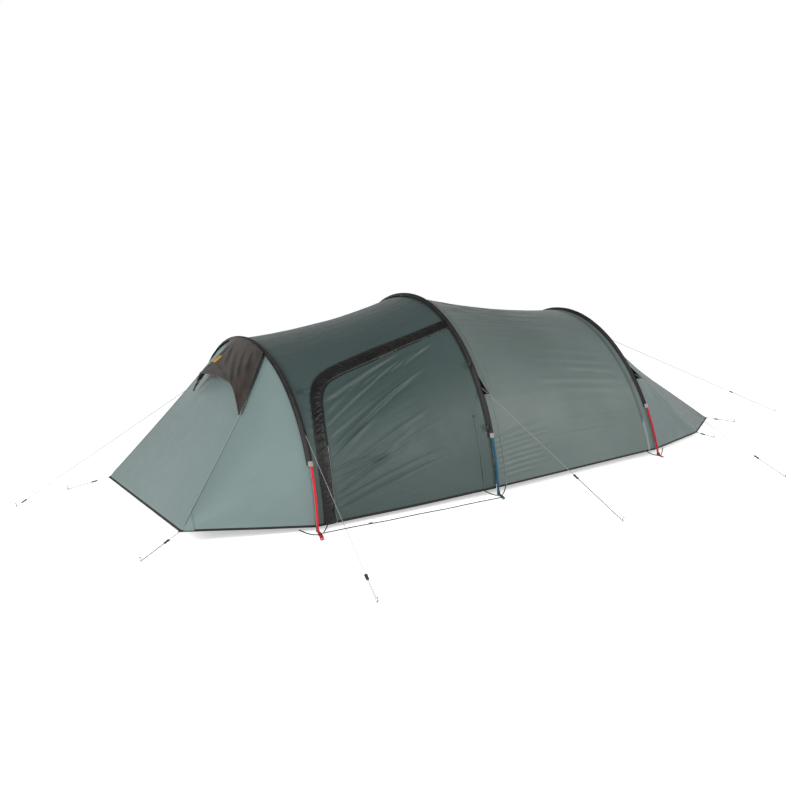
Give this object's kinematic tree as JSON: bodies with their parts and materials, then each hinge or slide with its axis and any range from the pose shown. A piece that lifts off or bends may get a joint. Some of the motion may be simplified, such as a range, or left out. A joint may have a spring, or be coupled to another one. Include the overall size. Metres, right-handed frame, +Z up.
{
  "type": "tunnel tent",
  "caption": "Pitched tunnel tent on arched poles in sleeves: outer fly with side door, storm flap and vent hood, hanging inner tent with floor, webbing feet, guylines with runners and pegs.",
  "frame": {"origin": "middle of the footprint of everything but the cords, on the floor the tent stands on", "axes": "+X to the tail (rear), -Y to the side with the door, +Z up"},
  "size_m": [5.8671, 4.0197, 1.1585],
  "materials": {
    "pole_front": "anodised, coloured",
    "pole_middle": "anodised, coloured",
    "pole_rear": "anodised, coloured",
    "sleeve_front": "woven polyester, matt",
    "sleeve_middle": "woven polyester, matt",
    "sleeve_rear": "woven polyester, matt",
    "fly_front_tail": "coated ripstop, satin",
    "fly_front_bay": "coated ripstop, satin",
    "fly_rear_bay": "coated ripstop, satin",
    "fly_rear_tail": "coated ripstop, satin",
    "outer_door": "coated ripstop, satin",
    "storm_flap": "woven polyester, matt",
    "door_zip_slider": "painted zinc",
    "vent_hood": "stiffened coated polyester",
    "inner_tent": "breathable ripstop",
    "inner_door": "breathable ripstop",
    "inner_zip_slider": "painted zinc",
    "groundsheet": "coated nylon, waterproof",
    "foot_strap_front_near": "woven webbing",
    "foot_strap_front_far": "woven webbing",
    "foot_strap_middle_near": "woven webbing",
    "foot_strap_middle_far": "woven webbing",
    "foot_strap_rear_near": "woven webbing",
    "foot_strap_rear_far": "woven webbing",
    "porch_strap_near": "woven webbing",
    "porch_strap_far": "woven webbing",
    "guy_front_near": "braided cord",
    "runner_front_near": "moulded nylon",
    "peg_front_near": "bare alloy",
    "guy_front_far": "braided cord",
    "runner_front_far": "moulded nylon",
    "peg_front_far": "bare alloy",
    "guy_middle_near": "braided cord",
    "runner_middle_near": "moulded nylon",
    "peg_middle_near": "bare alloy",
    "guy_middle_far": "braided cord",
    "runner_middle_far": "moulded nylon",
    "peg_middle_far": "bare alloy",
    "guy_rear_near": "braided cord",
    "runner_rear_near": "moulded nylon",
    "peg_rear_near": "bare alloy",
    "guy_rear_far": "braided cord",
    "runner_rear_far": "moulded nylon",
    "peg_rear_far": "bare alloy",
    "guy_hood": "braided cord",
    "runner_hood": "moulded nylon",
    "peg_hood": "bare alloy",
    "guy_tail": "braided cord",
    "runner_tail": "moulded nylon",
    "peg_tail": "bare alloy",
    "guy_corner_front_near": "braided cord",
    "guy_corner_front_far": "braided cord",
    "guy_corner_rear_near": "braided cord",
    "guy_corner_rear_far": "braided cord",
    "guy_tail_nose": "braided cord"
  },
  "bodies": {
    "tent": {"pole_front": "pole_front", "pole_middle": "pole_middle", "pole_rear": "pole_rear", "sleeve_front": "sleeve_front", "sleeve_middle": "sleeve_middle", "sleeve_rear": "sleeve_rear", "fly_front_tail": "fly_front_tail", "fly_front_bay": "fly_front_bay", "fly_rear_bay": "fly_rear_bay", "fly_rear_tail": "fly_rear_tail", "storm_flap": "storm_flap", "inner_tent": "inner_tent", "groundsheet": "groundsheet", "foot_strap_front_near": "foot_strap_front_near", "foot_strap_front_far": "foot_strap_front_far", "foot_strap_middle_near": "foot_strap_middle_near", "foot_strap_middle_far": "foot_strap_middle_far", "foot_strap_rear_near": "foot_strap_rear_near", "foot_strap_rear_far": "foot_strap_rear_far", "porch_strap_near": "porch_strap_near", "porch_strap_far": "porch_strap_far", "guy_front_near": "guy_front_near", "peg_front_near": "peg_front_near", "guy_front_far": "guy_front_far", "peg_front_far": "peg_front_far", "guy_middle_near": "guy_middle_near", "peg_middle_near": "peg_middle_near", "guy_middle_far": "guy_middle_far", "peg_middle_far": "peg_middle_far", "guy_rear_near": "guy_rear_near", "peg_rear_near": "peg_rear_near", "guy_rear_far": "guy_rear_far", "peg_rear_far": "peg_rear_far", "guy_hood": "guy_hood", "peg_hood": "peg_hood", "guy_tail": "guy_tail", "peg_tail": "peg_tail", "guy_corner_front_near": "guy_corner_front_near", "guy_corner_front_far": "guy_corner_front_far", "guy_corner_rear_near": "guy_corner_rear_near", "guy_corner_rear_far": "guy_corner_rear_far", "guy_tail_nose": "guy_tail_nose"},
    "outer_door": {"outer_door": "outer_door"},
    "door_zip": {"door_zip_slider": "door_zip_slider"},
    "hood": {"vent_hood": "vent_hood"},
    "inner_door": {"inner_door": "inner_door"},
    "inner_zip": {"inner_zip_slider": "inner_zip_slider"},
    "runner_front_near": {"runner_front_near": "runner_front_near"},
    "runner_front_far": {"runner_front_far": "runner_front_far"},
    "runner_middle_near": {"runner_middle_near": "runner_middle_near"},
    "runner_middle_far": {"runner_middle_far": "runner_middle_far"},
    "runner_rear_near": {"runner_rear_near": "runner_rear_near"},
    "runner_rear_far": {"runner_rear_far": "runner_rear_far"},
    "runner_hood": {"runner_hood": "runner_hood"},
    "runner_tail": {"runner_tail": "runner_tail"}
  },
  "joints": [
    {"name": "door_swing", "type": "hinge", "parent": "tent", "child": "outer_door", "pos_m": [-0.5444, -0.9125, 0.5], "axis": [0, 0, 1], "range_deg": [0, 75]},
    {"name": "door_zip_slide", "type": "slide", "parent": "tent", "child": "door_zip", "axis": [0.0146, 0.143, 0.9896], "range_m": [0, 0.14]},
    {"name": "hood_lift", "type": "hinge", "parent": "tent", "child": "hood", "pos_m": [-1.7059, 0, 0.951], "axis": [0, 1, 0], "range_deg": [0, 30]},
    {"name": "inner_door_swing", "type": "hinge", "parent": "tent", "child": "inner_door", "pos_m": [-0.4709, -0.4185, 0.5], "axis": [0, 0, 1], "range_deg": [0, 88]},
    {"name": "inner_zip_slide", "type": "slide", "parent": "tent", "child": "inner_zip", "axis": [0, 0, 1], "range_m": [0, 0.15]},
    {"name": "runner_front_near_slide", "type": "slide", "parent": "tent", "child": "runner_front_near", "axis": [-0.1926, -0.9062, -0.3764], "range_m": [-0.3, 0.08]},
    {"name": "runner_front_far_slide", "type": "slide", "parent": "tent", "child": "runner_front_far", "axis": [0.1246, 0.9163, -0.3806], "range_m": [-0.3, 0.08]},
    {"name": "runner_middle_near_slide", "type": "slide", "parent": "tent", "child": "runner_middle_near", "axis": [0.1506, -0.8329, -0.5326], "range_m": [-0.3, 0.2]},
    {"name": "runner_middle_far_slide", "type": "slide", "parent": "tent", "child": "runner_middle_far", "axis": [0.1506, 0.8329, -0.5326], "range_m": [-0.3, 0.2]},
    {"name": "runner_rear_near_slide", "type": "slide", "parent": "tent", "child": "runner_rear_near", "axis": [0.1684, -0.8678, -0.4674], "range_m": [-0.3, 0.12]},
    {"name": "runner_rear_far_slide", "type": "slide", "parent": "tent", "child": "runner_rear_far", "axis": [0.1684, 0.8678, -0.4674], "range_m": [-0.3, 0.12]},
    {"name": "runner_hood_slide", "type": "slide", "parent": "tent", "child": "runner_hood", "axis": [-0.7385, 0.42, -0.5275], "range_m": [-0.4, 0.02]},
    {"name": "runner_tail_slide", "type": "slide", "parent": "tent", "child": "runner_tail", "axis": [0.9189, -0.0801, -0.3862], "range_m": [-0.3, 0.35]}
  ]
}
